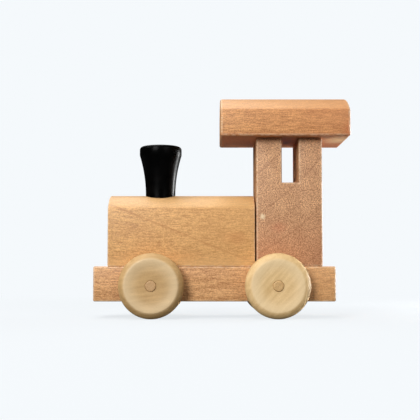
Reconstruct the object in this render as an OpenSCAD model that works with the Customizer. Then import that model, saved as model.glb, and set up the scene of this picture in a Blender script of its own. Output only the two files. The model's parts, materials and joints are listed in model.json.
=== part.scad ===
// Toy train locomotive: glued-up wooden blocks on two turning wheelsets.
// Front (funnel) is at -X, rear (cab) at +X, up is +Z, and the wheels stand on Z = 0.
// The origin lies on the floor under the middle of the overall length and width.

/* [Blocks] */
// Width of the planed stock that the chassis, the boiler and the cab are cut from
stock_w = 24; // [22:0.5:30]
// Size of the eased edges on those blocks
edge_ease = 0.6; // [0.3:0.1:1]

/* [Chassis] */
// Length of the chassis bar
chassis_l = 93.5; // [88:0.5:110]
// Height of the chassis bar
chassis_h = 13.5; // [13:0.1:18]
// Height of the axle centres above the underside of the chassis
axle_up = 6; // [5:0.1:6.5]
// Distance between the two axles
wheelbase = 48.2; // [44:0.1:56]

/* [Wheels] */
// Diameter of a wheel
wheel_d = 25; // [20:0.5:30]
// Width of a wheel along its axle
wheel_t = 7; // [6:0.1:9]
// Radius of the turned shoulder round the outer face
wheel_shoulder = 2.4; // [1:0.1:3]
// Radius of the edge round the inner face
wheel_back_edge = 1; // [0.4:0.1:1.4]
// Depth of the shallow dish turned in the outer face
dish_depth = 0.5; // [0.2:0.05:1]
// Width of the narrow lip between the dish and the shoulder
lip_w = 0.3; // [0.2:0.1:1.5]
// Free gap between each wheel and the side of the chassis
wheel_gap = 0.6; // [0.3:0.1:1.5]
// Diameter of an axle dowel
axle_d = 4.2; // [3.5:0.1:5]
// How far an axle end stands above the middle of the dish
axle_proud = 0.35; // [0.1:0.05:1]

/* [Boiler] */
// Height of the boiler's straight sides
boiler_side_h = 22.6; // [18:0.1:30]
// Rise of the arched top above the sides
boiler_rise = 5.5; // [3:0.1:8]
// Step from the front of the chassis back to the boiler
boiler_setback = 5.45; // [2:0.05:9]

/* [Funnel] */
// Diameter of the funnel's foot
funnel_foot_d = 11.8; // [10:0.1:14]
// Diameter of the funnel's rim
funnel_rim_d = 16.8; // [15:0.1:20]
// Height of the funnel above the crest of the boiler
funnel_h = 20; // [15:0.5:26]
// Height of the straight band at the rim
funnel_band_h = 3.6; // [2:0.1:5]
// Radius of the rim's top edge
funnel_edge = 1.3; // [0.5:0.1:1.8]
// Depth of the foot below the crest of the boiler
funnel_seat = 6; // [4:0.5:10]
// Distance from the boiler's front face back to the funnel's centre
funnel_back = 19.75; // [12:0.05:30]

/* [Cab] */
// Length of the cab block
cab_l = 25.6; // [22:0.1:27]
// Height of the cab block
cab_h = 50; // [44:0.5:56]
// Gap between the boiler and the cab
cab_gap = 0.5; // [0.1:0.1:1]
// Step from the rear of the chassis forward to the cab
cab_setback = 4.95; // [2:0.05:8]
// Width of the window slot along the cab
window_w = 6.5; // [5:0.1:9]
// Depth of the window slot below the roof
window_h = 17.5; // [12:0.5:24]
// Thickness of the front post beside the window slot
front_post = 10; // [8:0.1:11]

/* [Roof] */
// Length of the roof slab
roof_l = 50; // [44:0.5:54]
// Width of the roof slab
roof_w = 34; // [30:0.5:38]
// Height of the roof's straight sides
roof_side_h = 10.3; // [9:0.1:14]
// Rise of the arched top above the sides
roof_rise = 6.6; // [4:0.1:9]
// Overhang of the roof in front of the cab
roof_front = 13.9; // [10:0.1:16]
// Size of the eased edges round the roof
roof_ease = 0.8; // [0.3:0.1:1.2]

/* [Glued joints] */
// Diameter of the dowels under the boiler and the cab
body_dowel_d = 6; // [4:0.5:7]
// Length of the dowels under the boiler and the cab
body_dowel_l = 11; // [9:0.5:14]
// Part of those dowels that goes down in the chassis
chassis_peg = 4.5; // [3.5:0.1:5]
// Distance from each end of the boiler to the centre of its dowel
boiler_dowel_inset = 8.5; // [6:0.5:10]
// Distance from the cab's front face back to its two dowels
cab_dowel_back = 16.5; // [14:0.1:19]
// Distance between the two cab dowels
cab_dowel_pitch = 12; // [10:0.5:13]
// Diameter of the dowels between the cab posts and the roof
roof_dowel_d = 4; // [3:0.5:5]
// Length of the dowels between the cab posts and the roof
roof_dowel_l = 12; // [8:0.5:14]

/* [Coupling] */
// Diameter of the coupling magnet
magnet_d = 8; // [6:0.5:10]
// Thickness of the coupling magnet
magnet_t = 3; // [2:0.5:5]

/* [Clearances] */
// Radial clearance of an axle turning in the chassis
axle_clearance = 0.1; // [0.05:0.01:0.2]
// Radial glue gap round a dowel, an axle in its wheel, the funnel's foot and the magnet
glue_gap = 0.05; // [0.02:0.01:0.1]
// Glue gap past the end of a dowel, the funnel's foot and the magnet
end_gap = 0.4; // [0.2:0.1:0.8]

/* [Hidden] */
$fn = 96;

// Allowance by which a cutter runs out past the face that it cuts.
past = 1;
// Chamfer at the ends of every dowel.
dowel_chamfer = 0.5;
// Clear height of the longest prism, taller than any block.
tall = 2 * (cab_h + chassis_l);

// Levels above the floor.
axle_z = wheel_d / 2;
chassis_z = axle_z - axle_up;
deck_z = chassis_z + chassis_h;
crest_z = deck_z + boiler_side_h + boiler_rise;
roof_z = deck_z + cab_h;

// Stations along the length. The boiler fills the chassis from its front step to the cab.
boiler_l = chassis_l - boiler_setback - cab_gap - cab_l - cab_setback;
overall_l = chassis_l - cab_setback - cab_l - roof_front + roof_l;
chassis_front = -overall_l / 2;
chassis_mid = chassis_front + chassis_l / 2;
boiler_front = chassis_front + boiler_setback;
boiler_mid = boiler_front + boiler_l / 2;
cab_front = boiler_front + boiler_l + cab_gap;
cab_mid = cab_front + cab_l / 2;
window_mid = cab_front + front_post + window_w / 2;
roof_mid = cab_front - roof_front + roof_l / 2;
funnel_x = boiler_front + funnel_back;
axle_front_x = chassis_mid - wheelbase / 2;
axle_rear_x = chassis_mid + wheelbase / 2;
cab_dowel_x = cab_front + cab_dowel_back;
front_post_mid = cab_front + front_post / 2;
rear_post_mid = cab_front + (front_post + window_w + cab_l) / 2;

// Stations across the width.
wheel_y = stock_w / 2 + wheel_gap;
axle_l = 2 * (wheel_y + wheel_t - dish_depth + axle_proud);

// Radius of the sphere that turns the wheel's dish.
dish_reach = wheel_d / 2 - wheel_shoulder - lip_w;
dish_r = (pow(dish_reach, 2) + pow(dish_depth, 2)) / (2 * dish_depth);

// Radius of the arc that hollows the funnel between its foot and its rim.
flare_h = funnel_h - funnel_band_h;
flare_out = (funnel_rim_d - funnel_foot_d) / 2;
flare_r = (pow(flare_h, 2) + pow(flare_out, 2)) / (2 * flare_out);

// Rectangle centred on the origin with its four corners cut off at 45 degrees.
module eased_rectangle(size, ease) {
    x = size[0] / 2;
    y = size[1] / 2;
    polygon([
        [x - ease, -y], [x, -y + ease], [x, y - ease], [x - ease, y],
        [-x + ease, y], [-x, y - ease], [-x, -y + ease], [-x + ease, -y]
    ]);
}

// Block standing on z = 0 with all twelve edges eased.
module eased_block(size, ease) {
    translate([0, 0, size[2] / 2])
        intersection() {
            linear_extrude(height = tall, center = true)
                eased_rectangle([size[0], size[1]], ease);
            rotate([90, 0, 0])
                linear_extrude(height = tall, center = true)
                    eased_rectangle([size[0], size[2]], ease);
            rotate([90, 0, 90])
                linear_extrude(height = tall, center = true)
                    eased_rectangle([size[1], size[2]], ease);
        }
}

// Block standing on z = 0 whose top is an arc across its width, eased where the arc meets the ends.
module arched_block(length, width, side_h, rise, ease) {
    arch_r = (pow(width / 2, 2) + pow(rise, 2)) / (2 * rise);
    intersection() {
        eased_block([length, width, side_h + rise + 2 * ease], ease);
        union() {
            translate([-length, -width, -past])
                cube([2 * length, 2 * width, side_h + past]);
            translate([0, 0, side_h + rise - arch_r])
                rotate([0, 90, 0])
                    rotate_extrude()
                        arch_section(length / 2, arch_r, ease);
        }
    }
}

// Half section of the drum that turns an arched top, with its rims eased.
module arch_section(half_l, arch_r, ease) {
    polygon([
        [0, -half_l], [arch_r - ease, -half_l], [arch_r, -half_l + ease],
        [arch_r, half_l - ease], [arch_r - ease, half_l], [0, half_l]
    ]);
}

// Round pin along Z, centred, with a chamfer at both ends.
module dowel(diameter, length, chamfer) {
    r = diameter / 2;
    h = length / 2;
    rotate_extrude()
        polygon([
            [0, -h], [r - chamfer, -h], [r, -h + chamfer],
            [r, h - chamfer], [r - chamfer, h], [0, h]
        ]);
}

// Round hole along Z that holds a pin with the radial gap given, from bottom to top.
module hole(diameter, gap, bottom, top) {
    translate([0, 0, bottom])
        cylinder(d = diameter + 2 * gap, h = top - bottom);
}

// Holes across the chassis in which the axles turn.
module axle_bores() {
    for (x = [axle_front_x, axle_rear_x])
        translate([x, 0, axle_z])
            rotate([90, 0, 0])
                cylinder(r = axle_d / 2 + axle_clearance, h = stock_w + 2 * past, center = true);
}

// Places of the dowels that join the boiler and the cab to the chassis.
function boiler_dowel_x(side) = boiler_mid + side * (boiler_l / 2 - boiler_dowel_inset);
function cab_dowel_y(side) = side * cab_dowel_pitch / 2;
body_dowel_z = deck_z - chassis_peg + body_dowel_l / 2;

// Holes for the body dowels, open from the chassis through the joint to the block above.
module body_dowel_holes() {
    low = body_dowel_z - body_dowel_l / 2 - end_gap;
    high = body_dowel_z + body_dowel_l / 2 + end_gap;
    for (side = [-1, 1]) {
        translate([boiler_dowel_x(side), 0, 0])
            hole(body_dowel_d, glue_gap, low, high);
        translate([cab_dowel_x, cab_dowel_y(side), 0])
            hole(body_dowel_d, glue_gap, low, high);
    }
}

// Holes for the roof dowels, open from the cab posts through the joint to the roof.
module roof_dowel_holes() {
    for (x = [front_post_mid, rear_post_mid])
        translate([x, 0, 0])
            hole(
                roof_dowel_d, glue_gap,
                roof_z - roof_dowel_l / 2 - end_gap, roof_z + roof_dowel_l / 2 + end_gap
            );
}

module chassis() {
    color("#D09A68")
        difference() {
            translate([chassis_mid, 0, chassis_z])
                eased_block([chassis_l, stock_w, chassis_h], edge_ease);
            axle_bores();
            body_dowel_holes();
            translate([chassis_front + chassis_l - magnet_t - end_gap, 0, chassis_z + chassis_h / 2])
                rotate([0, 90, 0])
                    cylinder(r = magnet_d / 2 + glue_gap, h = magnet_t + end_gap + past);
        }
}

module boiler() {
    color("#D8A46C")
        difference() {
            translate([boiler_mid, 0, deck_z])
                arched_block(boiler_l, stock_w, boiler_side_h, boiler_rise, edge_ease);
            body_dowel_holes();
            translate([funnel_x, 0, 0])
                hole(funnel_foot_d, glue_gap, crest_z - funnel_seat - end_gap, crest_z + past);
        }
}

// Window slot of the cab, its mouths on both sides and its sill eased like the outer edges.
module window_cutter() {
    half = stock_w / 2;
    mouth = half + past;
    flare = edge_ease + past;
    side = window_w / 2;
    sill = roof_z - window_h;
    intersection() {
        translate([window_mid, 0, 0])
            linear_extrude(height = tall)
                polygon([
                    [side, half - edge_ease], [side + flare, mouth], [-side - flare, mouth],
                    [-side, half - edge_ease], [-side, edge_ease - half], [-side - flare, -mouth],
                    [side + flare, -mouth], [side, edge_ease - half]
                ]);
        translate([window_mid, 0, 0])
            rotate([90, 0, 90])
                linear_extrude(height = 2 * (side + flare) + past, center = true)
                    polygon([
                        [half - edge_ease, sill], [mouth, sill - flare], [mouth, roof_z + past],
                        [-mouth, roof_z + past], [-mouth, sill - flare], [edge_ease - half, sill]
                    ]);
    }
}

module cab() {
    color("#C08E70")
        difference() {
            translate([cab_mid, 0, deck_z])
                eased_block([cab_l, stock_w, cab_h], edge_ease);
            window_cutter();
            body_dowel_holes();
            roof_dowel_holes();
        }
}

module roof() {
    color("#CC9462")
        difference() {
            translate([roof_mid, 0, roof_z])
                arched_block(roof_l, roof_w, roof_side_h, roof_rise, roof_ease);
            roof_dowel_holes();
        }
}

module funnel() {
    color("#141414")
        translate([funnel_x, 0, crest_z])
            rotate_extrude()
                difference() {
                    funnel_outline();
                    translate([funnel_foot_d / 2 + flare_r, 0])
                        circle(r = flare_r, $fn = 4 * $fn);
                    translate([funnel_foot_d / 2, -funnel_seat - past])
                        square([funnel_rim_d, funnel_seat + past]);
                }
}

// Half section of the funnel before it is hollowed: a bar with its top edge rounded over.
module funnel_outline() {
    r = funnel_rim_d / 2;
    translate([0, -funnel_seat])
        square([r, funnel_seat + funnel_h - funnel_edge]);
    translate([0, funnel_h - funnel_edge])
        square([r - funnel_edge, funnel_edge]);
    translate([r - funnel_edge, funnel_h - funnel_edge])
        circle(r = funnel_edge, $fn = 48);
}

// Half section of a wheel: x is the radius, y runs from the inner face to the outer face.
module wheel_section() {
    r = wheel_d / 2;
    difference() {
        union() {
            translate([0, wheel_back_edge])
                square([r, wheel_t - wheel_back_edge - wheel_shoulder]);
            square([r - wheel_back_edge, wheel_back_edge]);
            translate([r - wheel_back_edge, wheel_back_edge])
                circle(r = wheel_back_edge, $fn = 48);
            translate([0, wheel_t - wheel_shoulder])
                square([r - wheel_shoulder, wheel_shoulder]);
            translate([r - wheel_shoulder, wheel_t - wheel_shoulder])
                circle(r = wheel_shoulder, $fn = 48);
        }
        translate([0, wheel_t - dish_depth + dish_r])
            circle(r = dish_r, $fn = 8 * $fn);
        translate([-wheel_d, -past])
            square([wheel_d + axle_d / 2 + glue_gap, wheel_t + 2 * past]);
    }
}

// Wheel on the axle at station x; side is -1 on the left of the engine and 1 on its right.
module wheel(x, side) {
    color("#D8BC8C")
        translate([x, side * wheel_y, axle_z])
            rotate([-side * 90, 0, 0])
                rotate_extrude()
                    wheel_section();
}

module axle(x) {
    color("#DDBE90")
        translate([x, 0, axle_z])
            rotate([90, 0, 0])
                dowel(axle_d, axle_l, axle_proud);
}

module body_dowel(x, y) {
    color("#E2C79A")
        translate([x, y, body_dowel_z])
            dowel(body_dowel_d, body_dowel_l, dowel_chamfer);
}

module roof_dowel(x) {
    color("#E2C79A")
        translate([x, 0, roof_z])
            dowel(roof_dowel_d, roof_dowel_l, dowel_chamfer);
}

module coupling_magnet() {
    color("#C4C8CC")
        translate([chassis_front + chassis_l - magnet_t, 0, chassis_z + chassis_h / 2])
            rotate([0, 90, 0])
                cylinder(d = magnet_d, h = magnet_t);
}

chassis();
boiler();
cab();
roof();
funnel();
wheel(axle_front_x, -1);  // wheel_front_left
wheel(axle_front_x, 1);  // wheel_front_right
wheel(axle_rear_x, -1);  // wheel_rear_left
wheel(axle_rear_x, 1);  // wheel_rear_right
axle(axle_front_x);  // axle_front
axle(axle_rear_x);  // axle_rear
body_dowel(boiler_dowel_x(-1), 0);  // boiler_dowel_front
body_dowel(boiler_dowel_x(1), 0);  // boiler_dowel_rear
body_dowel(cab_dowel_x, cab_dowel_y(-1));  // cab_dowel_left
body_dowel(cab_dowel_x, cab_dowel_y(1));  // cab_dowel_right
roof_dowel(front_post_mid);  // roof_dowel_front
roof_dowel(rear_post_mid);  // roof_dowel_rear
coupling_magnet();
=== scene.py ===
"""Toy train locomotive: sanded beech blocks, turned wheels and a black lacquered funnel.

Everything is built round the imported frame, in metres: front (funnel) at -X, rear (cab) at +X, up is +Z.
"""

import json
import logging
import math
from dataclasses import dataclass, field
from enum import Enum
from typing import Callable, Iterable

import bmesh
import bpy
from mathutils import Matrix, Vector

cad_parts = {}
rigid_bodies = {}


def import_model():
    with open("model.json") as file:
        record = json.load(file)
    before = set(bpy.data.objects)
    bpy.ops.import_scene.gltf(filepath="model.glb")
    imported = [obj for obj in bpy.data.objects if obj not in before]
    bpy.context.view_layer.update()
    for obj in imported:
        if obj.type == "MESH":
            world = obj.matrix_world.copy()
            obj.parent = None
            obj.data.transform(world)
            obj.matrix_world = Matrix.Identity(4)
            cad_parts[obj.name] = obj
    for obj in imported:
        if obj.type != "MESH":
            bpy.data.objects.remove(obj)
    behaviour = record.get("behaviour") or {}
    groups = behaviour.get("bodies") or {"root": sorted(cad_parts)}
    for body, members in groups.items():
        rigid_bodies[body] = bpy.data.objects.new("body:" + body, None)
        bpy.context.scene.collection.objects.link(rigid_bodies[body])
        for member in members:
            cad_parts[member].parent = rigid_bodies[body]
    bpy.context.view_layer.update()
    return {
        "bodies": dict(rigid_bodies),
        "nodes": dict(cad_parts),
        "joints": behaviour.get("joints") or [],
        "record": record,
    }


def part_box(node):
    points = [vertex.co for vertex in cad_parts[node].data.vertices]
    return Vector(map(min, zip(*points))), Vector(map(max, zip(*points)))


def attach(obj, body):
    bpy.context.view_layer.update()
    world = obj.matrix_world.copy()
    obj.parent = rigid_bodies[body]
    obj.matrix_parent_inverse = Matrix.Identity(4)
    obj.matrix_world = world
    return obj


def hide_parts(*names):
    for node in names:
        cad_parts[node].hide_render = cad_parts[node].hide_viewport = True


Pair = tuple[float, float]
Triple = tuple[float, float, float]
Colour = tuple[float, float, float, float]
Tree = bpy.types.NodeTree
Socket = bpy.types.NodeSocket

MM = 0.001
LOG = logging.getLogger("locomotive")

# CAD nodes of the pins in each joint.
BOILER_PINS = ("boiler_dowel_front", "boiler_dowel_rear")
CAB_PINS = ("cab_dowel_left", "cab_dowel_right")
ROOF_PINS = ("roof_dowel_front", "roof_dowel_rear")

# The funnel's foot and the seat drilled for it, in millimetres.
FUNNEL_FOOT = 11.8
FUNNEL_SEAT = 6.0

# Modelling: facets round a drilled hole, the least cosine of a level face, the angle in degrees below
# which two faces count as one flat, and the distance in millimetres at which points are welded.
BORE_SIDES = 64
LEVEL = 0.99
FLAT_ANGLE = 0.5
WELD = 0.002

# Wood: noise values that become none and all of a pattern, and how much longer clouds are than wide.
GRAIN_SPAN = (0.32, 0.68)
FLECK_SPAN = (0.58, 0.7)
SPECKLE_SPAN = (0.3, 0.7)
CLOUD_STRETCH = 2.5
NOISE_ROUGHNESS = 0.6

# A growth ring: the share of its width in which it ends, what is left of it in the palest fibres, and
# the scale of its wobble in ring gaps.
RING_END = 0.2
RING_IN_PALE = 0.35
RING_WOBBLE_SCALE = 0.6

# A stain or a painted patch of light: size of its tatters in millimetres, how far they reach and where it
# fades, in half-widths.
TATTER_SIZE = (2.4, 0.8, 0.8)
TATTER_REACH = 0.8
STAIN_AND_LIGHT_FADE = (0.4, 1.4)

# A sanded-over edge, rubbed paler and painted with a highlight: size of its pale patches in millimetres and
# the noise values they span.
EDGE_PATCH_SIZE = (1.6, 0.9, 0.9)
EDGE_PATCH_SPAN = (0.3, 0.6)


class Axis(Enum):
    """The direction that something runs along in the frame."""

    X = (1.0, 0.0, 0.0)
    Y = (0.0, 1.0, 0.0)
    Z = (0.0, 0.0, 1.0)

    def turn_from_z(self) -> Triple:
        """Gives the Euler angles that lay a shape built along Z on this axis."""
        if self is Axis.X:
            return (0.0, math.pi / 2, 0.0)
        if self is Axis.Y:
            return (-math.pi / 2, 0.0, 0.0)
        return (0.0, 0.0, 0.0)


# --------------------------------------------------------------------------------------------------
# Colours and nodes


def linear(colour: str) -> Colour:
    """Turns an sRGB hex colour into linear RGBA.

    Args:
        colour: Six hex digits, with or without a leading #.

    Returns:
        Red, green, blue and an alpha of one.
    """
    digits = colour.lstrip("#")
    parts = [int(digits[i : i + 2], 16) / 255 for i in (0, 2, 4)]
    return (*[p / 12.92 if p <= 0.04045 else ((p + 0.055) / 1.055) ** 2.4 for p in parts], 1.0)


def dimmed(colour: str, share: float) -> Colour:
    """Gives a share of an sRGB hex colour as linear RGBA."""
    return tuple(share * c for c in linear(colour)[:3]) + (1.0,)


def add_node(tree: Tree, kind: str, inputs: dict | None = None, **settings) -> bpy.types.Node:
    """Adds one node with its settings and links.

    Args:
        tree: The node tree that gets the node.
        kind: The node's type name.
        inputs: Input name or index, to a constant or to the socket that feeds it.
        **settings: Attributes of the node itself.

    Returns:
        The new node.
    """
    node = tree.nodes.new(kind)
    for name, value in settings.items():
        setattr(node, name, value)
    for name, value in (inputs or {}).items():
        if isinstance(value, Socket):
            tree.links.new(value, node.inputs[name])
        else:
            node.inputs[name].default_value = value
    return node


def new_material(name: str) -> tuple[bpy.types.Material, Tree]:
    """Makes an empty node material and returns it with its tree."""
    material = bpy.data.materials.new(name)
    material.use_nodes = True
    material.node_tree.nodes.clear()
    return material, material.node_tree


def object_place(tree: Tree) -> Socket:
    """Adds the place on the object, in metres, and returns its socket."""
    return add_node(tree, "ShaderNodeTexCoord").outputs["Object"]


def seen_from(
    tree: Tree, place: Socket, centre: Triple = (0.0, 0.0, 0.0), turn: Triple = (0.0, 0.0, 0.0),
    size: Triple = (1.0, 1.0, 1.0),
) -> Socket:
    """Adds the place as seen from a centre along turned axes, in units of size.

    Args:
        tree: The material's tree.
        place: Socket with the place.
        centre: Origin of the new axes.
        turn: Euler angles of the new axes.
        size: Length of one unit along each new axis.

    Returns:
        The socket with the new place.
    """
    return add_node(
        tree, "ShaderNodeMapping",
        {"Vector": place, "Location": centre, "Rotation": turn, "Scale": size}, vector_type="TEXTURE",
    ).outputs[0]


def distance(tree: Tree, place: Socket, across: Triple | None = None) -> Socket:
    """Adds the length of a vector, or of its part across an axis, and returns its socket."""
    if across is not None:
        place = add_node(tree, "ShaderNodeVectorMath", {0: place, 1: across}, operation="MULTIPLY").outputs[0]
    return add_node(tree, "ShaderNodeVectorMath", {0: place}, operation="LENGTH").outputs["Value"]


def calculate(tree: Tree, operation: str, *values: float | Socket) -> Socket:
    """Adds one calculation on numbers or sockets and returns its result."""
    return add_node(tree, "ShaderNodeMath", dict(enumerate(values)), operation=operation).outputs[0]


def remap(
    tree: Tree, value: Socket, span: Pair = (0.0, 1.0), to: Pair = (0.0, 1.0), smooth: bool = False
) -> Socket:
    """Adds a change of range that is held at both ends.

    Args:
        tree: The material's tree.
        value: Socket with the number.
        span: Numbers that become the two ends.
        to: The two ends.
        smooth: True to ease in and out.

    Returns:
        The socket with the changed number.
    """
    return add_node(
        tree, "ShaderNodeMapRange",
        {"Value": value, "From Min": span[0], "From Max": span[1], "To Min": to[0], "To Max": to[1]},
        interpolation_type="SMOOTHSTEP" if smooth else "LINEAR",
    ).outputs[0]


def mottle(tree: Tree, size: float, detail: float) -> Socket:
    """Adds even noise with features of a size in millimetres and returns its socket."""
    inputs = {"Vector": object_place(tree), "Scale": 1 / (size * MM), "Detail": detail}
    return add_node(tree, "ShaderNodeTexNoise", inputs).outputs["Fac"]


def mix_colours(tree: Tree, factor: Socket, under: Colour | Socket, over: Colour | Socket) -> Socket:
    """Adds a mix of two colours and returns its socket."""
    return add_node(tree, "ShaderNodeMix", {0: factor, 6: under, 7: over}, data_type="RGBA").outputs[2]


def blend(tree: Tree, under: Colour | Socket, over: str, pattern: Socket, strength: float) -> Socket:
    """Lays one colour over another where a pattern is high.

    Args:
        tree: The material's tree.
        under: Colour or socket below.
        over: Hex colour on top.
        pattern: Socket from zero to one.
        strength: Share of the top colour where the pattern is one.

    Returns:
        The socket with the mixed colour.
    """
    return mix_colours(tree, calculate(tree, "MULTIPLY", pattern, strength), under, linear(over))


def emboss(tree: Tree, height: Socket, depth: float, strength: float, normal: Socket | None = None) -> Socket:
    """Adds a bump of a depth in millimetres, on top of another normal if given, and returns its socket."""
    inputs = {"Height": height, "Distance": depth * MM, "Strength": strength}
    if normal is not None:
        inputs["Normal"] = normal
    return add_node(tree, "ShaderNodeBump", inputs).outputs[0]


def add_surface(tree: Tree, inputs: dict) -> None:
    """Adds the shader and the output that end a material."""
    shader = add_node(tree, "ShaderNodeBsdfPrincipled", inputs)
    add_node(tree, "ShaderNodeOutputMaterial", {"Surface": shader.outputs[0]})


# --------------------------------------------------------------------------------------------------
# Finishes


@dataclass(frozen=True)
class ToneAndLightDrift:
    """A slow change of colour along one axis: the wood's own tone, such as paler sapwood at one edge of a
    board, and also painted light, shade and sheen.

    The change starts at start and is complete at end, both in millimetres along the axis.
    """

    axis: Axis
    start: float
    end: float
    colour: str
    strength: float


@dataclass(frozen=True)
class StainAndLightPatch:
    """A soft-edged patch of another colour: a mineral streak, a scuff, a redder spot, or a painted pool of
    light.

    Centre and half-widths are in millimetres.
    """

    centre: Triple
    size: Triple
    colour: str
    strength: float


@dataclass(frozen=True)
class Turning:
    """What the lathe leaves round the axis of a turned piece, fine grooves, and a painted highlight that
    pales the face from its heart out to the lip.

    The axis runs along Y through centre. All lengths are in millimetres.
    """

    centre: Triple
    groove_gap: float = 0.5
    groove_depth: float = 0.012
    heart: float = 4.0
    lip_radius: float = 9.6
    lip_width: float = 1.2
    lip_highlight_colour: str = "#F2DCB4"
    lip_highlight_mix: float = 0.4

    def lip(self, tree: Tree, radius: Socket) -> Socket:
        """Adds the painted highlight that pales from the heart of the face out to the lip's crest, and
        returns its socket.
        """
        crest, outside = self.lip_radius, self.lip_radius + self.lip_width
        rise = remap(tree, radius, (self.heart, crest), smooth=True)
        fall = remap(tree, radius, (crest, outside), (1.0, 0.0), smooth=True)
        return calculate(tree, "MULTIPLY", rise, fall)

    def grooves(self, tree: Tree, radius: Socket, normal: Socket) -> Socket:
        """Adds the tool's fine grooves to a normal and returns the new normal's socket."""
        groove = add_node(
            tree, "ShaderNodeTexNoise", {"W": radius, "Scale": 1 / self.groove_gap, "Detail": 1.0},
            noise_dimensions="1D",
        ).outputs["Fac"]
        return emboss(tree, groove, self.groove_depth, 1.0, normal)


@dataclass(frozen=True)
class WoodFinish:
    """Planed or turned close-grained wood, sanded and thinly waxed.

    Fibres, growth rings, ray flecks and the speckle of open pores share one solid pattern, so that the grain
    runs on from one face of a block to the next. All lengths are in millimetres. Fibres run along the local X
    of fibre_turn, and growth rings are cylinders round the local X of ring_turn through ring_centre.
    """

    name: str
    pale: str
    mid: str
    dark: str
    fleck: str
    fibre_turn: Triple = (0.0, 0.0, 0.0)
    fibre_size: Triple = (3.4, 0.34, 0.34)
    ring_turn: Triple = (0.0, 0.0, 0.0)
    ring_centre: Triple = (0.0, 40.0, -30.0)
    ring_gap: float = 6.0
    ring_width: float = 2.4
    ring_wobble: float = 0.35
    ring_mix: float = 0.25
    fleck_size: Triple = (1.5, 0.34, 0.34)
    fleck_mix: float = 0.4
    speckle_size: Triple = (0.5, 0.36, 0.36)
    speckle: float = 0.4
    cloud_size: float = 9.0
    cloud_mix: float = 0.2
    tone_and_light_drifts: tuple[ToneAndLightDrift, ...] = ()
    stains_and_light_patches: tuple[StainAndLightPatch, ...] = ()
    turning: Turning | None = None
    roughness: Pair = (0.46, 0.62)
    relief: float = 0.03
    relief_strength: float = 0.8
    fibre_height: float = 0.7
    fleck_height: float = -0.6
    wax: float = 0.2
    # Colour of the eased edges: partly rubbed wear, partly a painted highlight.
    edge: str = "#F0D2AE"
    edge_wear_and_highlight_mix: float = 0.45

    def build(self, eased: bool = False) -> bpy.types.Material:
        """Makes the material.

        Args:
            eased: True for the sanded-over edges, which are rubbed patchily paler and carry a painted
                highlight.

        Returns:
            The finished material.
        """
        material, tree = new_material(self.name + ("_eased_edge_worn_and_highlit" if eased else ""))
        place = add_node(
            tree, "ShaderNodeVectorMath", {0: object_place(tree), "Scale": 1 / MM}, operation="SCALE"
        ).outputs[0]

        cloud_size = (CLOUD_STRETCH * self.cloud_size, self.cloud_size, self.cloud_size)
        fibre = self._noise(tree, place, self.fibre_size, 2.0, GRAIN_SPAN)
        cloud = self._noise(tree, place, cloud_size, 2.0, GRAIN_SPAN)
        fleck = self._noise(tree, place, self.fleck_size, 1.0, FLECK_SPAN)
        speckle = self._noise(tree, place, self.speckle_size, 0.0, SPECKLE_SPAN)
        late = self._late_wood(tree, place, fibre)

        inputs = {0: self.speckle, 2: fibre, 3: speckle}
        grain = add_node(tree, "ShaderNodeMix", inputs, data_type="FLOAT").outputs[0]
        colour = blend(tree, linear(self.mid), self.pale, grain, 1.0)
        colour = blend(tree, colour, self.dark, cloud, self.cloud_mix)
        colour = blend(tree, colour, self.dark, late, self.ring_mix)
        colour = blend(tree, colour, self.fleck, fleck, self.fleck_mix)
        # Drifts paint changes of the wood's tone and also painted light, shade and sheen.
        for drift in self.tone_and_light_drifts:
            colour = self._tone_and_light_drift(tree, place, colour, drift)
        # Patches paint real stains and also painted pools of light.
        for stain_and_light_patch in self.stains_and_light_patches:
            colour = self._add_stain_and_light_patch(tree, place, colour, stain_and_light_patch)
        # Paler eased edges: partly rubbed wear, partly a painted highlight.
        if eased:
            rubbed_and_highlit = self._noise(tree, place, EDGE_PATCH_SIZE, 1.0, EDGE_PATCH_SPAN)
            colour = blend(tree, colour, self.edge, rubbed_and_highlit, self.edge_wear_and_highlight_mix)

        rough = remap(tree, fibre, to=self.roughness)
        height = calculate(tree, "MULTIPLY_ADD", fleck, self.fleck_height, speckle)
        height = calculate(tree, "MULTIPLY_ADD", fibre, self.fibre_height, height)
        bump = emboss(tree, height, self.relief, self.relief_strength)
        if self.turning is not None:
            radius = distance(tree, seen_from(tree, place, self.turning.centre), (1.0, 0.0, 1.0))
            # Painted highlight on the wheel's face, palest at the lip.
            lip = self.turning.lip(tree, radius)
            colour = blend(tree, colour, self.turning.lip_highlight_colour, lip, self.turning.lip_highlight_mix)
            bump = self.turning.grooves(tree, radius, bump)
        add_surface(
            tree,
            {"Base Color": colour, "Roughness": rough, "Normal": bump, "IOR": 1.5,
             "Coat Weight": self.wax, "Coat Roughness": 0.4, "Coat IOR": 1.45},
        )
        return material

    def _noise(self, tree: Tree, place: Socket, size: Triple, detail: float, span: Pair) -> Socket:
        """Adds noise along the fibres, stretched over span.

        Args:
            tree: The material's tree.
            place: Socket with the place in millimetres.
            size: Size of a feature along the fibres and across them, in millimetres.
            detail: Octaves of finer noise on top.
            span: Noise values that become zero and one.

        Returns:
            The socket with the pattern, from zero to one.
        """
        local = seen_from(tree, place, turn=self.fibre_turn, size=size)
        inputs = {"Vector": local, "Scale": 1.0, "Detail": detail, "Roughness": NOISE_ROUGHNESS}
        return remap(tree, add_node(tree, "ShaderNodeTexNoise", inputs).outputs["Fac"], span)

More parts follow.
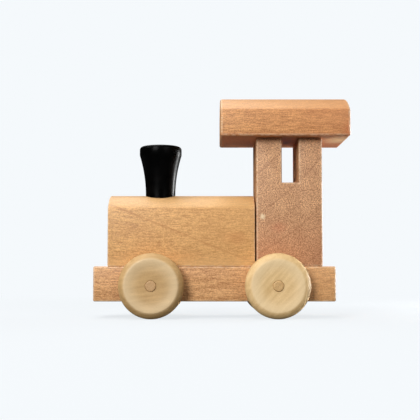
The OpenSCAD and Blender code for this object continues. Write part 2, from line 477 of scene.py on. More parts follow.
    def _late_wood(self, tree: Tree, place: Socket, fibre: Socket) -> Socket:
        """Adds the growth rings, strongest in the dark fibres, and returns their socket.

        Each ring grows darker outwards and ends abruptly.
        """
        gap, width = self.ring_gap, self.ring_width / self.ring_gap
        local = seen_from(tree, place, self.ring_centre, self.ring_turn, (gap, gap, gap))
        radius = distance(tree, local, (0.0, 1.0, 1.0))
        inputs = {"Vector": local, "Scale": RING_WOBBLE_SCALE, "Detail": 2.0}
        wobble = add_node(tree, "ShaderNodeTexNoise", inputs).outputs["Fac"]
        phase = calculate(tree, "MULTIPLY_ADD", wobble, 2 * self.ring_wobble, radius)
        turn = calculate(tree, "FRACT", phase)
        darkest = 1 - RING_END * width
        rise = remap(tree, turn, (1 - width, darkest), smooth=True)
        fall = remap(tree, turn, (darkest, 1.0), (1.0, 0.0))
        broken = remap(tree, fibre, to=(1.0, RING_IN_PALE))
        return calculate(tree, "MULTIPLY", calculate(tree, "MULTIPLY", rise, fall), broken)

    @staticmethod
    def _tone_and_light_drift(tree: Tree, place: Socket, colour: Socket, drift: ToneAndLightDrift) -> Socket:
        """Adds a slow change of colour along an axis, which paints the wood's tone and also painted light,
        and returns the changed colour's socket.
        """
        along = add_node(tree, "ShaderNodeSeparateXYZ", {0: place}).outputs[drift.axis.name]
        share = remap(tree, along, (drift.start, drift.end), smooth=True)
        return blend(tree, colour, drift.colour, share, drift.strength)

    def _add_stain_and_light_patch(self, tree: Tree, place: Socket, colour: Socket, stain_and_light_patch: StainAndLightPatch) -> Socket:
        """Adds one patch, ragged along the fibres, and returns the changed colour's socket."""
        away = distance(tree, seen_from(tree, place, stain_and_light_patch.centre, size=stain_and_light_patch.size))
        ragged = self._noise(tree, place, TATTER_SIZE, 2.0, (0.0, 1.0))
        away = calculate(tree, "MULTIPLY_ADD", ragged, TATTER_REACH, away)
        share = remap(tree, away, STAIN_AND_LIGHT_FADE, (1.0, 0.0), smooth=True)
        return blend(tree, colour, stain_and_light_patch.colour, share, stain_and_light_patch.strength)


@dataclass(frozen=True)
class LacquerFinish:
    """Dipped satin black lacquer on turned wood: near black, with a soft sheen and a faint orange peel."""

    name: str = "satin_black_lacquer"
    colour: str = "#020202"
    worn: str = "#060505"
    worn_span: Pair = (0.45, 0.75)
    roughness: Pair = (0.24, 0.36)
    rough_span: Pair = (0.3, 0.7)
    peel_size: float = 0.9
    drift_size: float = 5.4
    relief: float = 0.02

    def build(self) -> bpy.types.Material:
        """Makes the material."""
        material, tree = new_material(self.name)
        peel = mottle(tree, self.peel_size, 2.0)
        drift = mottle(tree, self.drift_size, 3.0)
        worn = remap(tree, drift, self.worn_span)
        add_surface(
            tree,
            {"Base Color": mix_colours(tree, worn, linear(self.colour), linear(self.worn)),
             "Roughness": remap(tree, drift, self.rough_span, self.roughness),
             "Normal": emboss(tree, peel, self.relief, 0.6), "IOR": 1.5, "Specular IOR Level": 0.05},
        )
        return material


@dataclass(frozen=True)
class NickelFinish:
    """Barrel-plated nickel on a pressed magnet: a bright metal with a fine even grain and small scuffs."""

    name: str = "nickel_plate"
    colour: str = "#C9C7C1"
    roughness: Pair = (0.2, 0.42)
    rough_span: Pair = (0.35, 0.65)
    scuff_size: float = 1.2
    scuff_depth: float = 0.01

    def build(self) -> bpy.types.Material:
        """Makes the material."""
        material, tree = new_material(self.name)
        scuff = mottle(tree, self.scuff_size, 4.0)
        add_surface(
            tree,
            {"Base Color": linear(self.colour), "Metallic": 1.0,
             "Roughness": remap(tree, scuff, self.rough_span, self.roughness),
             "Normal": emboss(tree, scuff, self.scuff_depth, 0.5)},
        )
        return material


# --------------------------------------------------------------------------------------------------
# Modelling by hand


def deselect_all() -> None:
    """Leaves object mode with nothing selected."""
    bpy.ops.object.select_all(action="DESELECT")


def finish_transform(piece: bpy.types.Object, name: str) -> bpy.types.Object:
    """Puts a new primitive's place into its mesh and names it."""
    bpy.ops.object.transform_apply(location=True, rotation=True, scale=True)
    piece.name = piece.data.name = name
    return piece


def add_cube(name: str, low: Vector, high: Vector) -> bpy.types.Object:
    """Adds a cube primitive that fills a box, with its place in its mesh."""
    deselect_all()
    bpy.ops.mesh.primitive_cube_add(size=1.0, location=(low + high) / 2, scale=high - low)
    return finish_transform(bpy.context.active_object, name)


def add_cylinder(
    name: str, centre: Vector, axis: Axis, radius: float, length: float, sides: int
) -> bpy.types.Object:
    """Adds a cylinder primitive along an axis, with its place in its mesh."""
    deselect_all()
    bpy.ops.mesh.primitive_cylinder_add(
        vertices=sides, radius=radius, depth=length, location=centre, rotation=axis.turn_from_z()
    )
    return finish_transform(bpy.context.active_object, name)


def pick(piece: bpy.types.Object) -> None:
    """Selects one piece alone and makes it the active one."""
    deselect_all()
    piece.select_set(True)
    bpy.context.view_layer.objects.active = piece


def edit(piece: bpy.types.Object, mode: str = "FACE") -> bmesh.types.BMesh:
    """Enters edit mode with nothing selected and returns the mesh to select in."""
    bpy.context.view_layer.objects.active = piece
    bpy.ops.object.mode_set(mode="EDIT")
    bpy.ops.mesh.select_mode(type=mode)
    bpy.ops.mesh.select_all(action="DESELECT")
    return bmesh.from_edit_mesh(piece.data)


def leave_edit(piece: bpy.types.Object) -> None:
    """Goes back to object mode."""
    bpy.context.view_layer.objects.active = piece
    bpy.ops.object.mode_set(mode="OBJECT")


def merge_flats(piece: bpy.types.Object) -> None:
    """Joins the faces that lie in one plane, and leaves edit mode."""
    bpy.ops.mesh.select_all(action="SELECT")
    bpy.ops.mesh.dissolve_limited(angle_limit=math.radians(FLAT_ANGLE))
    leave_edit(piece)


def select(
    mesh: bmesh.types.BMesh, piece: bpy.types.Object, elements: Iterable, test: Callable[[object], bool]
) -> None:
    """Selects the faces or edges that pass a test.

    Args:
        mesh: The edit-mode mesh.
        piece: Its object.
        elements: The mesh's faces or edges.
        test: Says whether one element is wanted.
    """
    for element in elements:
        if test(element):
            element.select_set(True)
    mesh.select_flush_mode()
    bmesh.update_edit_mesh(piece.data)


def bevel_selected(piece: bpy.types.Object, width: float, segments: int, material: int) -> None:
    """Rounds over the selected edges by a width in metres, and leaves edit mode."""
    bpy.ops.mesh.bevel(offset=width, segments=segments, profile=0.5, affect="EDGES", material=material)
    leave_edit(piece)


def ease_edges(
    piece: bpy.types.Object, width: float, segments: int, between: Pair = (60.0, 120.0), material: int = 1
) -> None:
    """Rounds over outward edges, as sandpaper does.

    Args:
        piece: The block.
        width: How far each edge is cut back, in metres.
        segments: Facets across the rounding.
        between: Least and greatest angle in degrees between the two faces of such an edge.
        material: Material slot of the new faces.
    """
    mesh = edit(piece, "EDGE")
    low, high = (math.radians(angle) for angle in between)
    select(
        mesh, piece, mesh.edges,
        lambda edge: edge.is_manifold and low < edge.calc_face_angle_signed() < high,
    )
    bevel_selected(piece, width, segments, material)


def drill(piece: bpy.types.Object, centre: Vector, axis: Axis, radius: float, length: float) -> None:
    """Drills a round hole with a boolean that is applied at once.

    Args:
        piece: The block to drill.
        centre: Middle of the hole.
        axis: Direction of the hole.
        radius: Radius of the hole.
        length: Length of the drill.
    """
    bit = add_cylinder("drill_bit", centre, axis, radius, length, BORE_SIDES)
    pick(piece)
    cut = piece.modifiers.new("drill", "BOOLEAN")
    cut.operation = "DIFFERENCE"
    cut.solver = "EXACT"
    cut.object = bit
    bpy.ops.object.modifier_apply(modifier=cut.name)
    bpy.data.objects.remove(bit, do_unlink=True)


def smooth(piece: bpy.types.Object, angle: float = 25.0) -> None:
    """Shades the rounded parts smooth and keeps the flat faces flat."""
    pick(piece)
    bpy.ops.object.shade_smooth_by_angle(angle=math.radians(angle))


def arc(centre: Pair, radius: float, start: float, end: float, steps: int) -> list[Pair]:
    """Gives points along an arc, both ends included; angles are in degrees from the first axis."""
    angles = [math.radians(start + (end - start) * i / steps) for i in range(steps + 1)]
    return [(centre[0] + radius * math.cos(a), centre[1] + radius * math.sin(a)) for a in angles]


def turn_on_lathe(
    name: str, outline: list[Pair], centre: Vector, axis: Axis, side: float, steps: int
) -> bpy.types.Object:
    """Turns an outline into a round piece, as a lathe does.

    The outline is drawn in edit mode from one vertex by extruding it point after point, and is then spun.

    Args:
        name: Name of the piece.
        outline: Radius and distance along the axis of each point, in millimetres, in order. An outline
            that starts and ends on the axis makes a solid, and any other is closed into a ring.
        centre: Pair on the axis from which the distances run.
        axis: Direction of the axis.
        side: 1 or -1, the way along the axis in which the distances run.
        steps: Facets round the piece.

    Returns:
        The turned piece.
    """
    along = Vector(axis.value) * side
    outward = Vector(Axis.Z.value) if axis is not Axis.Z else Vector(Axis.X.value)
    places = [centre + outward * (r * MM) + along * (a * MM) for r, a in outline]
    on_axis = outline[0][0] == 0 and outline[-1][0] == 0

    deselect_all()
    bpy.ops.mesh.primitive_plane_add(size=MM, location=places[0])
    piece = finish_transform(bpy.context.active_object, name)
    edit(piece, "VERT")
    bpy.ops.mesh.select_all(action="SELECT")
    bpy.ops.mesh.merge(type="CENTER")
    for here, there in zip(places, places[1:]):
        bpy.ops.mesh.extrude_region_move(TRANSFORM_OT_translate={"value": there - here})
    bpy.ops.mesh.select_all(action="SELECT")
    if not on_axis:
        mesh = bmesh.from_edit_mesh(piece.data)
        ends = [v for v in mesh.verts if len(v.link_edges) == 1]
        mesh.edges.new(ends)
        bmesh.update_edit_mesh(piece.data)
        bpy.ops.mesh.select_all(action="SELECT")
    bpy.ops.mesh.spin(steps=steps, angle=2 * math.pi, center=centre, axis=along)
    bpy.ops.mesh.select_all(action="SELECT")
    bpy.ops.mesh.remove_doubles(threshold=WELD * MM)
    bpy.ops.mesh.normals_make_consistent(inside=False)
    leave_edit(piece)
    return piece


def install(piece: bpy.types.Object, body: str, node: str) -> None:
    """Sets a finished piece in the frame in the place of its CAD node.

    Args:
        piece: The finished piece.
        body: Body that it moves with.
        node: CAD node that it replaces.
    """
    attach(piece, body)
    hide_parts(node)
    LOG.info("%s: %d faces", piece.name, len(piece.data.polygons))


# --------------------------------------------------------------------------------------------------
# Pieces


@dataclass(frozen=True)
class Joinery:
    """Clearances and pins that the glued-up blocks share, in millimetres."""

    glue_gap: float = 0.05
    end_gap: float = 0.4
    axle_clearance: float = 0.1


@dataclass
class Block:
    """A block sawn from planed stock. Its box is its CAD node's box."""

    node: str
    finish: WoodFinish
    slot: str
    pins: tuple[str, ...] = ()
    ease: float = 0.6
    segments: int = 3
    body: str = "engine_body"
    joinery: Joinery = field(default_factory=Joinery)

    @property
    def name(self) -> str:
        """The piece's name in the scene."""
        return "sanded_" + self.node

    def shape(self) -> bpy.types.Object:
        """Makes the block with all its corners still sharp."""
        return add_cube(self.name, *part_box(self.node))

    def sand(self, piece: bpy.types.Object) -> None:
        """Eases the square edges."""
        ease_edges(piece, self.ease * MM, self.segments)

    def machine(self, piece: bpy.types.Object) -> None:
        """Drills the holes for the pins."""
        gap, spare = self.joinery.glue_gap * MM, self.joinery.end_gap * MM
        for pin in self.pins:
            low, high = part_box(pin)
            drill(piece, (low + high) / 2, Axis.Z, (high.x - low.x) / 2 + gap, high.z - low.z + 2 * spare)

    def build(self) -> bpy.types.Object:
        """Models, eases, drills and dresses the block, and sets it in the frame."""
        piece = self.shape()
        piece.data.materials.append(self.finish.build())
        piece.data.materials.append(self.finish.build(eased=True))
        self.sand(piece)
        self.machine(piece)
        smooth(piece)
        install(piece, self.body, self.node)
        return piece


@dataclass
class Chassis(Block):
    """The bar under everything, bored across for the axles and pocketed for the magnet."""

    def machine(self, piece: bpy.types.Object) -> None:
        """Drills the pin holes, the axle bores and the pocket for the magnet."""
        super().machine(piece)
        low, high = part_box(self.node)
        for axle in ("axle_front", "axle_rear"):
            near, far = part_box(axle)
            radius = (far.z - near.z) / 2 + self.joinery.axle_clearance * MM
            drill(piece, (near + far) / 2, Axis.Y, radius, 2 * (high.y - low.y))
        near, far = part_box("coupling_magnet")
        radius = (far.z - near.z) / 2 + self.joinery.glue_gap * MM
        depth = far.x - near.x + self.joinery.end_gap * MM
        mouth = Vector((far.x, (near.y + far.y) / 2, (near.z + far.z) / 2))
        drill(piece, mouth, Axis.X, radius, 2 * depth)


@dataclass
class ArchedBlock(Block):
    """A block whose top is an arc across its width."""

    rise: float = 5.5
    sides: int = 160
    arris: float = 0.35
    arris_segments: int = 2
    arris_angles: Pair = (25.0, 60.0)

    def shape(self) -> bpy.types.Object:
        """Cuts the arched top off a long cylinder and draws its flat underside down to the base."""
        low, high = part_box(self.node)
        half, rise = (high.y - low.y) / 2, self.rise * MM
        radius = (half**2 + rise**2) / (2 * rise)
        spring = high.z - rise
        middle = (low + high) / 2
        centre = Vector((middle.x, middle.y, high.z - radius))
        piece = add_cylinder(self.name, centre, Axis.X, radius, high.x - low.x, self.sides)
        edit(piece)
        bpy.ops.mesh.select_all(action="SELECT")
        bpy.ops.mesh.bisect(plane_co=(0, 0, spring), plane_no=(0, 0, 1), use_fill=True, clear_inner=True)
        leave_edit(piece)
        mesh = edit(piece)
        select(mesh, piece, mesh.faces, lambda face: face.normal.z < -LEVEL)
        bpy.ops.mesh.extrude_region_move(TRANSFORM_OT_translate={"value": (0, 0, low.z - spring)})
        merge_flats(piece)
        return piece

    def sand(self, piece: bpy.types.Object) -> None:
        """Eases the square edges, and barely blunts the long ones where the arch meets the sides."""
        ease_edges(piece, self.arris * MM, self.arris_segments, between=self.arris_angles, material=0)
        super().sand(piece)


@dataclass
class Boiler(ArchedBlock):
    """The long arched block at the front, with the hole that takes the funnel's foot."""

    seat_edge: float = 0.4
    seat_segments: int = 2

    def machine(self, piece: bpy.types.Object) -> None:
        """Drills the pin holes and the seat of the funnel."""
        super().machine(piece)
        low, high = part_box("funnel")
        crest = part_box(self.node)[1].z
        depth = (FUNNEL_SEAT + self.joinery.end_gap) * MM
        seat = Vector(((low.x + high.x) / 2, (low.y + high.y) / 2, crest))
        radius = (FUNNEL_FOOT / 2 + self.joinery.glue_gap) * MM
        drill(piece, seat, Axis.Z, radius, 2 * depth)

        def is_mouth(edge: bmesh.types.BMEdge) -> bool:
            """Says whether an edge runs round the mouth of the seat."""
            ends = [vertex.co - seat for vertex in edge.verts]
            round_it = all(abs(end.xy.length - radius) < 5 * WELD * MM and end.z > -depth / 2 for end in ends)
            return round_it and abs(ends[0].z - ends[1].z) < depth / 4

        mesh = edit(piece, "EDGE")
        select(mesh, piece, mesh.edges, is_mouth)
        bevel_selected(piece, self.seat_edge * MM, self.seat_segments, material=0)


@dataclass
class Cab(Block):
    """The upright block at the rear, with two posts on either side of the window slot."""

    front_post: float = 10.0
    window_width: float = 6.5
    window_depth: float = 17.5

    def shape(self) -> bpy.types.Object:
        """Makes the block up to the sill of the window and draws the two posts up from it."""
        low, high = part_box(self.node)
        sill = high.z - self.window_depth * MM
        front = low.x + self.front_post * MM
        rear = front + self.window_width * MM
        piece = add_cube(self.name, low, Vector((high.x, high.y, sill)))
        edit(piece)
        for cut in (front, rear):
            bpy.ops.mesh.select_all(action="SELECT")
            bpy.ops.mesh.bisect(plane_co=(cut, 0, 0), plane_no=(1, 0, 0))
        leave_edit(piece)
        mesh = edit(piece)
        select(
            mesh, piece, mesh.faces,
            lambda face: face.normal.z > LEVEL and not front < face.calc_center_median().x < rear,
        )
        bpy.ops.mesh.extrude_region_move(TRANSFORM_OT_translate={"value": (0, 0, high.z - sill)})
        merge_flats(piece)
        return piece


@dataclass
class TurnedPiece:
    """A round piece turned on a lathe."""

    node: str
    slot: str
    body: str
    material: bpy.types.Material
    steps: int = 128
    smooth_angle: float = 35.0

    @property
    def name(self) -> str:
        """The piece's name in the scene."""
        return "turned_" + self.node

    def turn(self) -> bpy.types.Object:
        """Turns the outline of the piece."""
        raise NotImplementedError

    def build(self) -> bpy.types.Object:
        """Turns and dresses the piece, and sets it in the frame."""
        piece = self.turn()
        piece.data.materials.append(self.material)
        smooth(piece, self.smooth_angle)
        install(piece, self.body, self.node)
        return piece


@dataclass
class Wheel(TurnedPiece):
    """A disc wheel with a bevelled shoulder, a raised lip and a shallow dish round its axle."""

    shoulder: float = 2.4
    shoulder_reach: float = 2.4
    fullness: float = 1.3
    back_edge: float = 1.0
    lip: float = 0.3
    fillet: float = 3.4
    fillet_depth: float = 0.26
    dish_depth: float = 0.4
    bore_edge: float = 0.06
    joinery: Joinery = field(default_factory=Joinery)
    shoulder_steps: int = 20
    fillet_steps: tuple[float, ...] = (0.0, 0.08, 0.16, 0.25, 0.35, 0.45, 0.55, 0.65, 0.75, 0.85, 0.93, 1.0)
    bowl_steps: tuple[float, ...] = (0.85, 0.7, 0.55)

    def bevel(self, face: float, width: float) -> list[Pair]:
        """Gives the outline of the shoulder, from the rim in to the face.

        Its fullness is 1 for a flat bevel and 2 for a quarter round.

        Args:
            face: Radius at which the face begins.
            width: Width of the wheel.

        Returns:
            Radius and distance along the axis of each point.
        """
        power = 2 / self.fullness
        turns = [math.pi / 2 * i / self.shoulder_steps for i in range(self.shoulder_steps + 1)]
        return [
            (
                face + self.shoulder_reach * max(math.cos(t), 0.0) ** power,
                width - self.shoulder * (1 - math.sin(t) ** power),
            )
            for t in turns
        ]

    def dish(self, reach: float, bore: float, width: float) -> list[Pair]:
        """Gives the outline of the dish, from its rim in to the eased mouth of the bore.

        Args:
            reach: Radius of the dish.
            bore: Radius of the bore.
            width: Width of the wheel.

        Returns:
            Radius and distance along the axis of each point.
        """
        bowl = reach - self.fillet
        slope = [
            (reach - self.fillet * s, self.fillet_depth * (3 * s**2 - 2 * s**3)) for s in self.fillet_steps
        ]
        rest = self.dish_depth - self.fillet_depth
        slope += [(bowl * t, self.fillet_depth + rest * (1 - t**2)) for t in self.bowl_steps]
        slope += [(bore + self.bore_edge, self.dish_depth), (bore, self.dish_depth + self.bore_edge)]
        return [(radius, width - depth) for radius, depth in slope]

    def turn(self) -> bpy.types.Object:
        """Turns the wheel round its axle, its outer face away from the chassis."""
        low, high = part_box(self.node)
        middle = (low + high) / 2
        side = 1 if middle.y > 0 else -1
        near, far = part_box("axle_front" if "front" in self.node else "axle_rear")
        rim = (high.z - low.z) / 2 / MM
        width = (high.y - low.y) / MM
        bore = (far.z - near.z) / 2 / MM + self.joinery.glue_gap
        face = rim - self.shoulder_reach
        outline = [(bore, 0.0)]
        outline += arc((rim - self.back_edge, self.back_edge), self.back_edge, -90, 0, 6)
        outline += self.bevel(face, width)
        outline += self.dish(face - self.lip, bore, width)
        inner = Vector((middle.x, low.y if side > 0 else high.y, middle.z))
        return turn_on_lathe(self.name, outline, inner, Axis.Y, side, self.steps)


@dataclass
class Axle(TurnedPiece):
    """A dowel axle with softly broken ends, faintly cupped where they were sanded."""

    edge: float = 0.45
    cup: float = 0.08
    cup_reach: float = 0.55
    cup_share: float = 0.8
    steps: int = 64

    def turn(self) -> bpy.types.Object:
        """Turns the axle from one end to the other."""
        low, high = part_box(self.node)
        radius = (high.z - low.z) / 2 / MM
        length = (high.y - low.y) / MM
        flat = radius - self.edge
        end = [(0.0, self.cup), (self.cup_reach * flat, self.cup * self.cup_share), (flat, 0.0)]
        end += arc((flat, self.edge), self.edge, -90, 0, 5)[1:]
        outline = end + [(r, length - a) for r, a in reversed(end)]
        start = Vector(((low.x + high.x) / 2, low.y, (low.z + high.z) / 2))
        return turn_on_lathe(self.name, outline, start, Axis.Y, 1, self.steps)


@dataclass
class Funnel(TurnedPiece):
    """The flared funnel: a straight foot, a hollow-cut flank and a softly rounded rim."""

    foot_edge: float = 0.4
    band: float = 3.6
    edge: float = 1.3
    crown: float = 0.15

    def turn(self) -> bpy.types.Object:
        """Turns the funnel from the bottom of its foot to the middle of its top."""
        low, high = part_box(self.node)
        rim = (high.x - low.x) / 2 / MM
        height = (high.z - low.z) / MM
        foot = FUNNEL_FOOT / 2
        flare = height - FUNNEL_SEAT - self.band
        out = rim - foot
        bend = (flare**2 + out**2) / (2 * out)
        sweep = math.degrees(math.asin(flare / bend))
        outline = [(0.0, 0.0), (foot - self.foot_edge, 0.0), (foot, self.foot_edge)]
        outline += arc((foot + bend, FUNNEL_SEAT), bend, 180, 180 - sweep, 14)
        outline += arc((rim - self.edge, height - self.edge - self.crown), self.edge, 0, 90, 8)
        outline += [(0.6 * rim, height - 0.4 * self.crown), (0.0, height)]
        start = Vector(((low.x + high.x) / 2, (low.y + high.y) / 2, low.z))
        return turn_on_lathe(self.name, outline, start, Axis.Z, 1, self.steps)


@dataclass
class Magnet(TurnedPiece):
    """The plated magnet let in flush at the rear end of the chassis."""

    edge: float = 0.25
    steps: int = 96

    def turn(self) -> bpy.types.Object:
        """Turns the disc from its inner face to its outer face."""
        low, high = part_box(self.node)
        radius = (high.z - low.z) / 2 / MM
        depth = (high.x - low.x) / MM
        flat = radius - self.edge
        outline = [(0.0, 0.0)]
        outline += arc((flat, self.edge), self.edge, -90, 0, 4)
        outline += arc((flat, depth - self.edge), self.edge, 0, 90, 4)
        outline += [(0.0, depth)]
        start = Vector((low.x, (low.y + high.y) / 2, (low.z + high.z) / 2))
        return turn_on_lathe(self.name, outline, start, Axis.X, 1, self.steps)


# --------------------------------------------------------------------------------------------------
# Finishes of this engine


def boiler_beech() -> WoodFinish:
    """Golden long-grain beech: fine level fibres and a growth ring that slants down to the rear, with painted
    light paler towards the bottom and a painted sheen on the arched top.
    """
    return WoodFinish(
        name="sanded_beech_boiler", pale="#F0BB78", mid="#A67137", dark="#AE7239", fleck="#945B2A",
        ring_turn=(0.0, math.radians(22), 0.0), ring_centre=(-66.7, 1.6, -106.6), ring_gap=30.0,
        ring_width=1.2, ring_wobble=0.02, ring_mix=0.9, fleck_mix=0.35,
        tone_and_light_drifts=(
            # Paler towards the rear; paler towards the bottom is painted light from below.
            ToneAndLightDrift(Axis.X, -45.0, 10.0, "#E7AE6B", 0.3), ToneAndLightDrift(Axis.Z, 26.0, 20.0, "#EDB778", 0.5),
            # Paler over the arched top: a painted sheen.
            ToneAndLightDrift(Axis.Z, 42.0, 44.0, "#E9CA97", 0.25),
        ),
        stains_and_light_patches=(
            StainAndLightPatch((5.0, -12.0, 31.0), (7.0, 3.0, 4.0), "#C88144", 0.35),
            StainAndLightPatch((-15.0, -12.0, 24.0), (10.0, 3.0, 3.0), "#D4904E", 0.3),
        ),
    )


def chassis_beech() -> WoodFinish:
    """Redder beech with straight, closely spaced fibres."""
    return WoodFinish(
        name="sanded_beech_chassis", pale="#F5BE81", mid="#98612C", dark="#A76B3D", fleck="#88512A",
        fibre_size=(4.0, 0.42, 0.42), ring_centre=(0.0, 35.0, 90.0), ring_gap=7.0, ring_mix=0.2,
        tone_and_light_drifts=(ToneAndLightDrift(Axis.X, -10.0, 40.0, "#E9B277", 0.3),),
    )


def roof_beech() -> WoodFinish:
    """Warm beech that turns redder towards the rear, with painted shade along its lower edge, a painted sheen
    on its arched top and a painted pool of light under the rear of its overhang.
    """
    return WoodFinish(
        name="sanded_beech_roof", pale="#F2B16F", mid="#9E622D", dark="#AA6634", fleck="#8A5025",
        fibre_size=(3.4, 0.4, 0.4), ring_centre=(0.0, -50.0, 40.0), ring_gap=8.0, ring_mix=0.2,
        tone_and_light_drifts=(
            # Redder towards the rear; darker and redder towards the bottom is painted shade along the lower
            # edge.
            ToneAndLightDrift(Axis.X, 5.0, 60.0, "#C27546", 0.35), ToneAndLightDrift(Axis.Z, 72.0, 70.0, "#B35B34", 0.4),
            # Paler over the arched top: a painted sheen.
            ToneAndLightDrift(Axis.Z, 79.5, 81.5, "#E8BE89", 0.25),
        ),
        stains_and_light_patches=(
            StainAndLightPatch((50.0, -17.0, 72.5), (5.0, 4.0, 5.0), "#BE5B31", 0.45),
            # Pale patch under the rear of the overhang: a painted pool of light.
            StainAndLightPatch((46.0, -5.0, 69.6), (9.0, 14.0, 1.4), "#FFE5B4", 0.9),
        ),
    )


def cab_beech() -> WoodFinish:
    """Beech sawn so that its end grain faces the sides: thickly speckled, with faint slanting rings."""
    return WoodFinish(
        name="sanded_beech_cab", pale="#FAC38F", mid="#82502A", dark="#925F3A", fleck="#805236",
        fibre_turn=(0.0, 0.0, math.pi / 2), fibre_size=(5.0, 0.5, 0.5),
        ring_turn=(0.0, 0.0, math.pi / 2), ring_centre=(-42.0, 0.0, 126.4), ring_gap=13.0, ring_width=1.4,
        ring_wobble=0.04, ring_mix=0.6, speckle_size=(0.6, 0.42, 0.42), speckle=0.55, cloud_size=6.0,
        cloud_mix=0.3, tone_and_light_drifts=(ToneAndLightDrift(Axis.Z, 44.0, 24.0, "#BE734C", 0.3),),
        stains_and_light_patches=(
            StainAndLightPatch((15.8, -12.0, 39.2), (1.6, 2.0, 1.8), "#EED6AD", 0.8),
            StainAndLightPatch((22.0, -12.0, 35.0), (5.0, 2.0, 3.0), "#C66F4A", 0.3),
        ),
    )


def peg_birch() -> WoodFinish:
    """Birch peg standing upright, with its fibres along it."""
    return WoodFinish(
        name="birch_peg", pale="#E2C79A", mid="#D3B07E", dark="#B58F5E", fleck="#9A7646",
        fibre_turn=(0.0, math.pi / 2, 0.0), ring_mix=0.1, ring_gap=1.6,
    )


@dataclass(frozen=True)
class Wheelset:
    """What tells one wheelset from the other: the turning of its wheels, and the colours of its woods.

    Reach, fullness and lip are the wheel's. Slope is the angle in degrees at which its fibres rise to the
    rear. Colours run from the palest wood to the darkest.
    """

    end: str
    reach: float
    fullness: float
    lip: float
    slope: float
    wheel_colours: tuple[str, str, str]
    rod_colours: tuple[str, str]

    def wheel_birch(self) -> WoodFinish:
        """Turned birch: nearly even, with soft clouds, faint fibres across the face and fine tool marks."""
        low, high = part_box(f"axle_{self.end}")
        turn = (0.0, -math.radians(self.slope), 0.0)
        pale, mid, dark = self.wheel_colours
        return WoodFinish(
            name=f"turned_birch_{self.end}", pale=pale, mid=mid, dark=dark, fleck=dark,
            fibre_turn=turn, fibre_size=(12.0, 1.2, 1.2), ring_turn=turn, ring_centre=(0.0, 30.0, 60.0),
            ring_gap=7.0, ring_mix=0.12, fleck_mix=0.12, speckle=0.25, cloud_size=4.0, cloud_mix=0.4,
            relief=0.012, wax=0.1, turning=Turning(tuple((low + high) / 2 / MM), lip_radius=self.lip),
        )

    def rod_birch(self) -> WoodFinish:
        """Birch dowel rod, with its fibres along it."""
        pale, mid = self.rod_colours
        return WoodFinish(
            name=f"birch_dowel_{self.end}", pale=pale, mid=mid, dark="#9A7446", fleck="#8C673A",
            fibre_turn=(0.0, 0.0, math.pi / 2), fibre_size=(7.0, 0.5, 0.5), ring_mix=0.1, ring_gap=1.6,
        )

    def build(self) -> None:
        """Builds the axle and its two wheels."""
        rod, wood = self.rod_birch().build(), self.wheel_birch().build()
        body = f"{self.end}_wheelset"
        for hand in ("left", "right"):
            Wheel(
                f"wheel_{self.end}_{hand}", "wheel_wood", body, wood,
                shoulder_reach=self.reach, fullness=self.fullness,
            ).build()
        Axle(f"axle_{self.end}", "dowel_wood", body, rod).build()


@dataclass
class Locomotive:
    """The whole engine: blocks, funnel, wheelsets, magnet and the pegs inside the joints."""

    frame: dict

    def build_blocks(self) -> None:
        """Builds the four glued-up blocks."""
        for block in (
            Chassis("chassis", chassis_beech(), "chassis_wood", BOILER_PINS + CAB_PINS),
            Boiler("boiler", boiler_beech(), "boiler_wood", BOILER_PINS, ease=0.5, rise=5.5),
            Cab("cab", cab_beech(), "cab_wood", CAB_PINS + ROOF_PINS),
            ArchedBlock(
                "roof", roof_beech(), "roof_wood", ROOF_PINS, ease=0.8, rise=6.6, sides=200, segments=4
            ),
        ):
            block.build()

    def build_running_gear(self) -> None:
        """Builds the two wheelsets."""
        front_woods = ("#D2AC76", "#B9935E", "#A6814C"), ("#D0A878", "#B68C5A")
        rear_woods = ("#EAC993", "#D4B07A", "#C0985B"), ("#DDB67C", "#C69C64")
        Wheelset("front", 2.4, 1.3, 9.9, 8.0, *front_woods).build()
        Wheelset("rear", 2.6, 1.55, 9.6, 48.0, *rear_woods).build()

    def build_fittings(self) -> None:
        """Builds the funnel and the coupling magnet."""
        Funnel("funnel", "black_painted_wood", "engine_body", LacquerFinish().build()).build()
        Magnet("coupling_magnet", "nickel_plate", "engine_body", NickelFinish().build()).build()

    def dress_pegs(self) -> None:
        """Gives the pegs hidden in the joints, which keep their CAD shape, their wood."""
        wood = peg_birch().build()
        for name, node in self.frame["nodes"].items():
            if name in BOILER_PINS + CAB_PINS + ROOF_PINS:
                node.data.materials.clear()
                node.data.materials.append(wood)
                LOG.info("%s: keeps its CAD shape", name)

    def build(self) -> None:
        """Builds every piece in turn."""
        self.build_blocks()
        self.build_running_gear()
        self.build_fittings()
        self.dress_pegs()


# --------------------------------------------------------------------------------------------------
# Studio


@dataclass(frozen=True)
class Softbox:
    """A large square white light that faces the engine. Lengths are in millimetres, power in watts."""

    name: str
    place: Triple
    size: float
    power: float


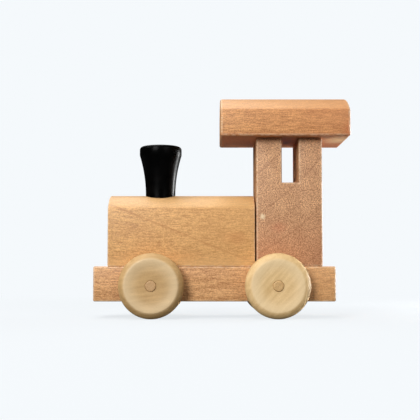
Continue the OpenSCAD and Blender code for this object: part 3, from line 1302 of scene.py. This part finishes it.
@dataclass
class Studio:
    """Camera, soft lights and a pale floor.

    Places and lengths are in millimetres. The floor's shade shows within the first of the two distances in
    shade_reach and is gone beyond the second.
    """

    camera_place: Triple = (-4.5, -344.8, 19.0)
    camera_pitch: float = 3.91
    focal_length: float = 73.9
    sensor_width: float = 36.0
    near_clip: float = 10.0
    target: Triple = (0.0, 0.0, 40.0)
    floor_radius: float = 6000.0
    floor_sides: int = 96
    shade_reach: Pair = (100.0, 300.0)
    paper: str = "#F5F9FC"
    ambient: float = 0.02
    paper_glow: float = 0.8
    paper_shade: float = 0.15
    bounce: float = 0.12
    softboxes: tuple[Softbox, ...] = (
        Softbox("key_softbox", (-529.0, -996.0, 450.0), 450.0, 9.5),
        Softbox("high_key_softbox", (-377.0, -709.0, 932.0), 350.0, 3.8),
        Softbox("fill_softbox", (598.0, -956.0, 450.0), 450.0, 2.9),
        Softbox("left_softbox", (-950.0, -254.0, 728.0), 450.0, 2.4),
        Softbox("top_softbox", (-200.0, 0.0, 1200.0), 700.0, 5.7),
        Softbox("back_softbox", (-300.0, 600.0, 1000.0), 700.0, 4.0),
        Softbox("side_softbox", (1100.0, 30.0, 30.0), 200.0, 2.6),
        Softbox("rear_softbox", (800.0, 500.0, 40.0), 200.0, 4.0),
        Softbox("low_softbox", (240.0, 110.0, 8.0), 140.0, 1.6),
    )

    def place_camera(self) -> None:
        """Sets up the camera, almost level with the chassis and square to the engine's side."""
        data = bpy.data.cameras.new("camera")
        data.lens = self.focal_length
        data.sensor_width = self.sensor_width
        data.clip_start = self.near_clip * MM
        camera = bpy.data.objects.new("camera", data)
        camera.location = Vector(self.camera_place) * MM
        camera.rotation_euler = (math.radians(90 + self.camera_pitch), 0.0, 0.0)
        bpy.context.scene.collection.objects.link(camera)
        bpy.context.scene.camera = camera

    def place_lights(self) -> None:
        """Hangs the softboxes, each aimed at the middle of the engine."""
        target = Vector(self.target) * MM
        for box in self.softboxes:
            data = bpy.data.lights.new(box.name, "AREA")
            data.shape = "SQUARE"
            data.size = box.size * MM
            data.energy = box.power
            light = bpy.data.objects.new(box.name, data)
            light.location = Vector(box.place) * MM
            light.rotation_euler = (target - light.location).to_track_quat("-Z", "Y").to_euler()
            light.visible_camera = False
            bpy.context.scene.collection.objects.link(light)

    @staticmethod
    def seen_or_felt(tree: Tree, felt: bpy.types.Node, seen: bpy.types.Node) -> Socket:
        """Adds a switch between two shaders and returns its socket.

        Args:
            tree: The tree that gets the switch.
            felt: What lights the engine.
            seen: What the camera sees.

        Returns:
            The socket with the shader.
        """
        path = add_node(tree, "ShaderNodeLightPath")
        inputs = {0: path.outputs["Is Camera Ray"], 1: felt.outputs[0], 2: seen.outputs[0]}
        return add_node(tree, "ShaderNodeMixShader", inputs).outputs[0]

    def paint_world(self) -> None:
        """Fills the room with even light: paper white to the eye, dimmer as light on the engine."""
        world = bpy.data.worlds.new("studio")
        world.use_nodes = True
        tree = world.node_tree
        tree.nodes.clear()
        seen, felt = (
            add_node(tree, "ShaderNodeBackground", {"Color": linear(self.paper), "Strength": strength})
            for strength in (1.0, self.ambient)
        )
        add_node(tree, "ShaderNodeOutputWorld", {"Surface": self.seen_or_felt(tree, felt, seen)})
        bpy.context.scene.world = world

    def paint_paper(self) -> bpy.types.Material:
        """Makes the floor's matt paper, lit from within so that it runs on into the backdrop without an edge.

        Its shade shows only near the engine. It throws back little light, so that the undersides stay dark.
        """
        material, tree = new_material("matt_paper")
        start, end = self.shade_reach
        far = remap(tree, distance(tree, object_place(tree)), (start * MM, end * MM), smooth=True)
        shade, dull = (
            add_node(tree, "ShaderNodeBsdfDiffuse", {"Color": dimmed(self.paper, share)})
            for share in (self.paper_shade, self.bounce)
        )
        glow, white = (
            add_node(tree, "ShaderNodeEmission", {"Color": linear(self.paper), "Strength": strength})
            for strength in (self.paper_glow, 1.0)
        )
        near = add_node(tree, "ShaderNodeAddShader", {0: shade.outputs[0], 1: glow.outputs[0]})
        seen = add_node(tree, "ShaderNodeMixShader", {0: far, 1: near.outputs[0], 2: white.outputs[0]})
        add_node(tree, "ShaderNodeOutputMaterial", {"Surface": self.seen_or_felt(tree, dull, seen)})
        return material

    def lay_floor(self) -> None:
        """Lays a wide sheet of pale paper under the wheels."""
        deselect_all()
        bpy.ops.mesh.primitive_circle_add(
            vertices=self.floor_sides, radius=self.floor_radius * MM, fill_type="NGON", location=(0, 0, 0)
        )
        floor = finish_transform(bpy.context.active_object, "paper_floor")
        floor.data.materials.append(self.paint_paper())

    def build(self) -> None:
        """Lights and floors the studio."""
        self.place_lights()
        self.paint_world()
        self.lay_floor()


def main() -> None:
    """Builds the studio and the engine."""
    logging.basicConfig(level=logging.INFO, format="%(name)s: %(message)s")
    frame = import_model()
    bpy.context.scene.view_settings.view_transform = "Standard"
    studio = Studio()
    studio.place_camera()
    Locomotive(frame).build()
    studio.build()


if __name__ == "__main__":
    main()
